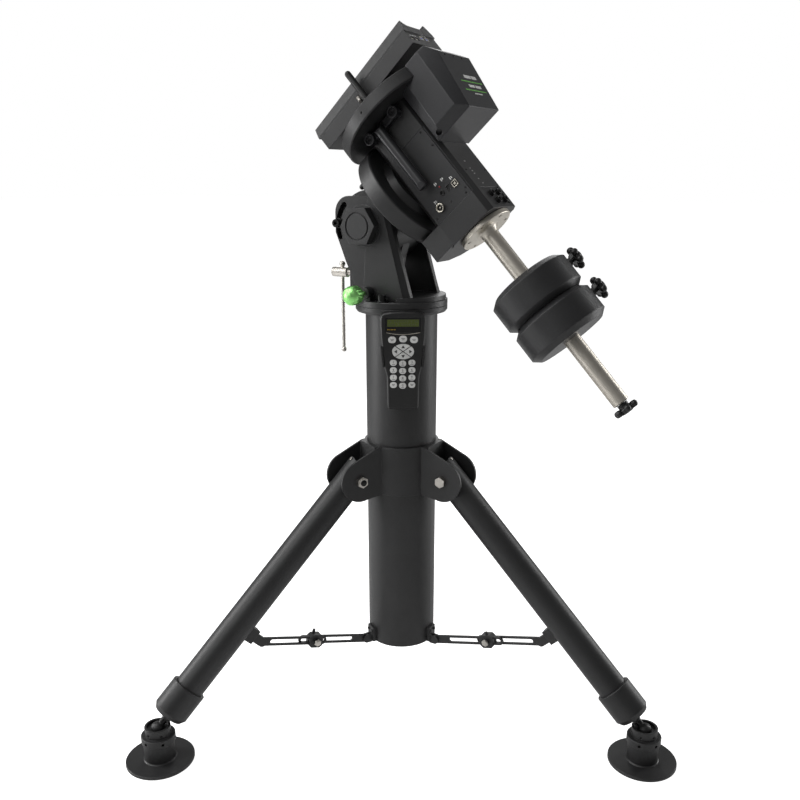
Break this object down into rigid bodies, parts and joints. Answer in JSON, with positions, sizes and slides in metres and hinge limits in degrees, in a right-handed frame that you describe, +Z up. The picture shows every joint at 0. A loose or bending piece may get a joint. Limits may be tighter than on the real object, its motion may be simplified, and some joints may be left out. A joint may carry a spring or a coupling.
{
  "type": "equatorial telescope mount",
  "caption": "German equatorial telescope mount on a steel pier tripod, with fork wedge, worm-housing rings, motor cover, dovetail saddle, counterweight bar and hand controller",
  "frame": {"origin": "on the pier's axis at floor level, under the feet's common plane", "axes": "+Z up the pier; +X towards the celestial pole (north), along the front leg; the handset and the electronics cover face -Y"},
  "size_m": [0.9385, 1.0636, 1.3344],
  "materials": {
    "black_coat": "satin black powder coat with a fine grain",
    "bright_steel": "bright plated steel",
    "black_steel": "blackened steel",
    "green_anodised": "light green anodised, knurled",
    "bearing_steel": "ground steel",
    "black_panel": "black anodised cover sheet",
    "socket_metal": "plated connector shells",
    "stainless": "warm satin turned stainless steel",
    "weight_iron": "black powder coated",
    "black_plastic": "moulded, matte",
    "white_keys": "white rubber-touch keys"
  },
  "bodies": {
    "pier": {"pier_tube": "black_coat", "pier_head_flange": "black_coat", "leg_collar": "black_coat", "collar_hinge_bolts": "bright_steel", "spreader_pier_brackets": "black_coat", "base_lock_bolts": "black_steel", "handset_case": "black_plastic"},
    "handset_keys": {"handset_keys": "white_keys"},
    "fork": {"wedge_fork": "black_coat", "altitude_pivots": "black_coat"},
    "azimuth_screw_east": {"azimuth_knob_east": "green_anodised"},
    "azimuth_screw_west": {"azimuth_knob_west": "green_anodised"},
    "altitude_screw": {"altitude_screw": "bright_steel"},
    "tommy_bar": {"tommy_bar": "bright_steel"},
    "polar_unit": {"ra_housing": "black_coat", "ra_bearings": "bearing_steel", "altitude_lock_bolts": "black_steel"},
    "ra_clutch_lever": {"ra_clutch_lever": "black_steel"},
    "dec_unit": {"ra_shaft": "bearing_steel", "ra_ring": "black_coat", "dec_housing": "black_coat", "electronics_cover": "black_panel", "port_sockets": "socket_metal", "dec_motor_cover": "black_panel", "carry_handle": "black_coat", "counterweight_bar": "stainless", "dec_bearings": "bearing_steel", "dec_ring": "black_coat"},
    "saddle": {"dec_shaft": "bearing_steel", "saddle_base": "black_coat", "saddle_plate": "black_coat"},
    "dec_clutch_lever": {"dec_clutch_lever": "black_steel"},
    "saddle_jaw": {"saddle_jaw": "black_coat", "saddle_knobs": "black_plastic"},
    "counterweight_upper": {"counterweight_upper": "weight_iron"},
    "counterweight_lower": {"counterweight_lower": "weight_iron"},
    "weight_knob_upper": {"weight_knob_upper": "black_plastic"},
    "weight_knob_lower": {"weight_knob_lower": "black_plastic"},
    "toe_saver": {"toe_saver": "black_plastic"},
    "leg_north": {"leg_tube_north": "black_coat", "leg_fittings_north": "black_coat"},
    "foot_barrel_north": {"foot_barrel_north": "black_coat"},
    "foot_pad_north": {"foot_pad_north": "black_coat"},
    "spreader_inner_north": {"spreader_inner_north": "black_coat"},
    "spreader_outer_north": {"spreader_outer_north": "black_coat"},
    "leg_west": {"leg_tube_west": "black_coat", "leg_fittings_west": "black_coat"},
    "foot_barrel_west": {"foot_barrel_west": "black_coat"},
    "foot_pad_west": {"foot_pad_west": "black_coat"},
    "spreader_inner_west": {"spreader_inner_west": "black_coat"},
    "spreader_outer_west": {"spreader_outer_west": "black_coat"},
    "leg_east": {"leg_tube_east": "black_coat", "leg_fittings_east": "black_coat"},
    "foot_barrel_east": {"foot_barrel_east": "black_coat"},
    "foot_pad_east": {"foot_pad_east": "black_coat"},
    "spreader_inner_east": {"spreader_inner_east": "black_coat"},
    "spreader_outer_east": {"spreader_outer_east": "black_coat"}
  },
  "joints": [
    {"name": "azimuth_turn", "type": "hinge", "parent": "pier", "child": "fork", "pos_m": [0, 0, 0.843], "axis": [0, 0, 1], "range_deg": [-9, 9]},
    {"name": "azimuth_screw_east_slide", "type": "slide", "parent": "fork", "child": "azimuth_screw_east", "axis": [0, 1, 0], "range_m": [-0.0048, 0.0048]},
    {"name": "azimuth_screw_west_slide", "type": "slide", "parent": "fork", "child": "azimuth_screw_west", "axis": [0, 1, 0], "range_m": [-0.0048, 0.0048]},
    {"name": "altitude_tilt", "type": "hinge", "parent": "fork", "child": "polar_unit", "pos_m": [-0.0436, 0, 0.9899], "axis": [0, -1, 0], "range_deg": [-25, 21]},
    {"name": "altitude_screw_slide", "type": "slide", "parent": "fork", "child": "altitude_screw", "axis": [1, 0, 0], "range_m": [-0.0437, 0.0367]},
    {"name": "tommy_bar_slide", "type": "slide", "parent": "altitude_screw", "child": "tommy_bar", "axis": [0, 0, 1], "range_m": [0, 0.03]},
    {"name": "ra_axis", "type": "hinge", "parent": "polar_unit", "child": "dec_unit", "pos_m": [0.0727, 0, 1.0963], "axis": [0.729, 0, 0.6845], "continuous": true},
    {"name": "ra_clutch", "type": "hinge", "parent": "polar_unit", "child": "ra_clutch_lever", "pos_m": [-0.0002, 0, 1.02784], "axis": [0.729, 0, 0.6845], "range_deg": [-35, 0]},
    {"name": "dec_axis", "type": "hinge", "parent": "dec_unit", "child": "saddle", "pos_m": [0.0727, 0, 1.0963], "axis": [0.6845, 0, -0.729], "continuous": true},
    {"name": "dec_clutch", "type": "hinge", "parent": "saddle", "child": "dec_clutch_lever", "pos_m": [-0.02177, 0, 1.1969], "axis": [0.6845, 0, -0.729], "range_deg": [-12, 12]},
    {"name": "saddle_jaw_slide", "type": "slide", "parent": "saddle", "child": "saddle_jaw", "axis": [0, 1, 0], "range_m": [0, 0.01]},
    {"name": "counterweight_upper_slide", "type": "slide", "parent": "dec_unit", "child": "counterweight_upper", "axis": [0.6845, 0, -0.729], "range_m": [-0.09, 0]},
    {"name": "counterweight_lower_slide", "type": "slide", "parent": "dec_unit", "child": "counterweight_lower", "axis": [0.6845, 0, -0.729], "range_m": [0, 0.12]},
    {"name": "toe_saver_turn", "type": "hinge", "parent": "dec_unit", "child": "toe_saver", "pos_m": [0.44578, 0, 0.69901], "axis": [0.6845, 0, -0.729], "continuous": true},
    {"name": "handset_keys_press", "type": "slide", "parent": "pier", "child": "handset_keys", "axis": [-0.5299, 0.848, 0], "range_m": [0, 0.001]},
    {"name": "weight_knob_upper_turn", "type": "hinge", "parent": "counterweight_upper", "child": "weight_knob_upper", "pos_m": [0.26951, 0, 0.88672], "axis": [0.586, 0.5948, 0.5503], "continuous": true},
    {"name": "weight_knob_lower_turn", "type": "hinge", "parent": "counterweight_lower", "child": "weight_knob_lower", "pos_m": [0.31571, 0, 0.83752], "axis": [0.586, 0.5948, 0.5503], "continuous": true},
    {"name": "leg_fold_north", "type": "hinge", "parent": "pier", "child": "leg_north", "pos_m": [0.111, 0, 0.507], "axis": [0, 1, 0], "range_deg": [0, 10]},
    {"name": "foot_tilt_north", "type": "hinge", "parent": "leg_north", "child": "foot_barrel_north", "pos_m": [0.539, 0, 0.07], "axis": [0, 1, 0], "range_deg": [-10, 5]},
    {"name": "foot_level_north", "type": "slide", "parent": "foot_barrel_north", "child": "foot_pad_north", "axis": [0, 0, 1], "range_m": [-0.012, 0]},
    {"name": "spreader_swing_north", "type": "hinge", "parent": "pier", "child": "spreader_inner_north", "pos_m": [0.0855, 0, 0.136], "axis": [0, 1, 0], "range_deg": [0, 5.4]},
    {"name": "spreader_slide_north", "type": "slide", "parent": "spreader_inner_north", "child": "spreader_outer_north", "axis": [0.9688, 0, 0.2478], "range_m": [-0.063, 0]},
    {"name": "leg_fold_west", "type": "hinge", "parent": "pier", "child": "leg_west", "pos_m": [-0.0555, 0.09613, 0.507], "axis": [-0.866, -0.5, 0], "range_deg": [0, 10]},
    {"name": "foot_tilt_west", "type": "hinge", "parent": "leg_west", "child": "foot_barrel_west", "pos_m": [-0.2695, 0.46679, 0.07], "axis": [-0.866, -0.5, 0], "range_deg": [-10, 5]},
    {"name": "foot_level_west", "type": "slide", "parent": "foot_barrel_west", "child": "foot_pad_west", "axis": [0, 0, 1], "range_m": [-0.012, 0]},
    {"name": "spreader_swing_west", "type": "hinge", "parent": "pier", "child": "spreader_inner_west", "pos_m": [-0.04275, 0.07404, 0.136], "axis": [-0.866, -0.5, 0], "range_deg": [0, 5.4]},
    {"name": "spreader_slide_west", "type": "slide", "parent": "spreader_inner_west", "child": "spreader_outer_west", "axis": [-0.4844, 0.839, 0.2478], "range_m": [-0.063, 0]},
    {"name": "leg_fold_east", "type": "hinge", "parent": "pier", "child": "leg_east", "pos_m": [-0.0555, -0.09613, 0.507], "axis": [0.866, -0.5, 0], "range_deg": [0, 10]},
    {"name": "foot_tilt_east", "type": "hinge", "parent": "leg_east", "child": "foot_barrel_east", "pos_m": [-0.2695, -0.46679, 0.07], "axis": [0.866, -0.5, 0], "range_deg": [-10, 5]},
    {"name": "foot_level_east", "type": "slide", "parent": "foot_barrel_east", "child": "foot_pad_east", "axis": [0, 0, 1], "range_m": [-0.012, 0]},
    {"name": "spreader_swing_east", "type": "hinge", "parent": "pier", "child": "spreader_inner_east", "pos_m": [-0.04275, -0.07404, 0.136], "axis": [0.866, -0.5, 0], "range_deg": [0, 5.4]},
    {"name": "spreader_slide_east", "type": "slide", "parent": "spreader_inner_east", "child": "spreader_outer_east", "axis": [-0.4844, -0.839, 0.2478], "range_m": [-0.063, 0]}
  ],
  "couplings": [
    {"joint": "azimuth_screw_east_slide", "follows": "azimuth_turn", "m_per_rad": 0.03},
    {"joint": "azimuth_screw_west_slide", "follows": "azimuth_turn", "m_per_rad": 0.03},
    {"joint": "altitude_screw_slide", "follows": "altitude_tilt", "m_per_rad": 0.1},
    {"joint": "spreader_swing_north", "follows": "leg_fold_north", "ratio": 0.53},
    {"joint": "spreader_slide_north", "follows": "leg_fold_north", "m_per_rad": -0.357},
    {"joint": "spreader_swing_west", "follows": "leg_fold_west", "ratio": 0.53},
    {"joint": "spreader_slide_west", "follows": "leg_fold_west", "m_per_rad": -0.357},
    {"joint": "spreader_swing_east", "follows": "leg_fold_east", "ratio": 0.53},
    {"joint": "spreader_slide_east", "follows": "leg_fold_east", "m_per_rad": -0.357}
  ]
}
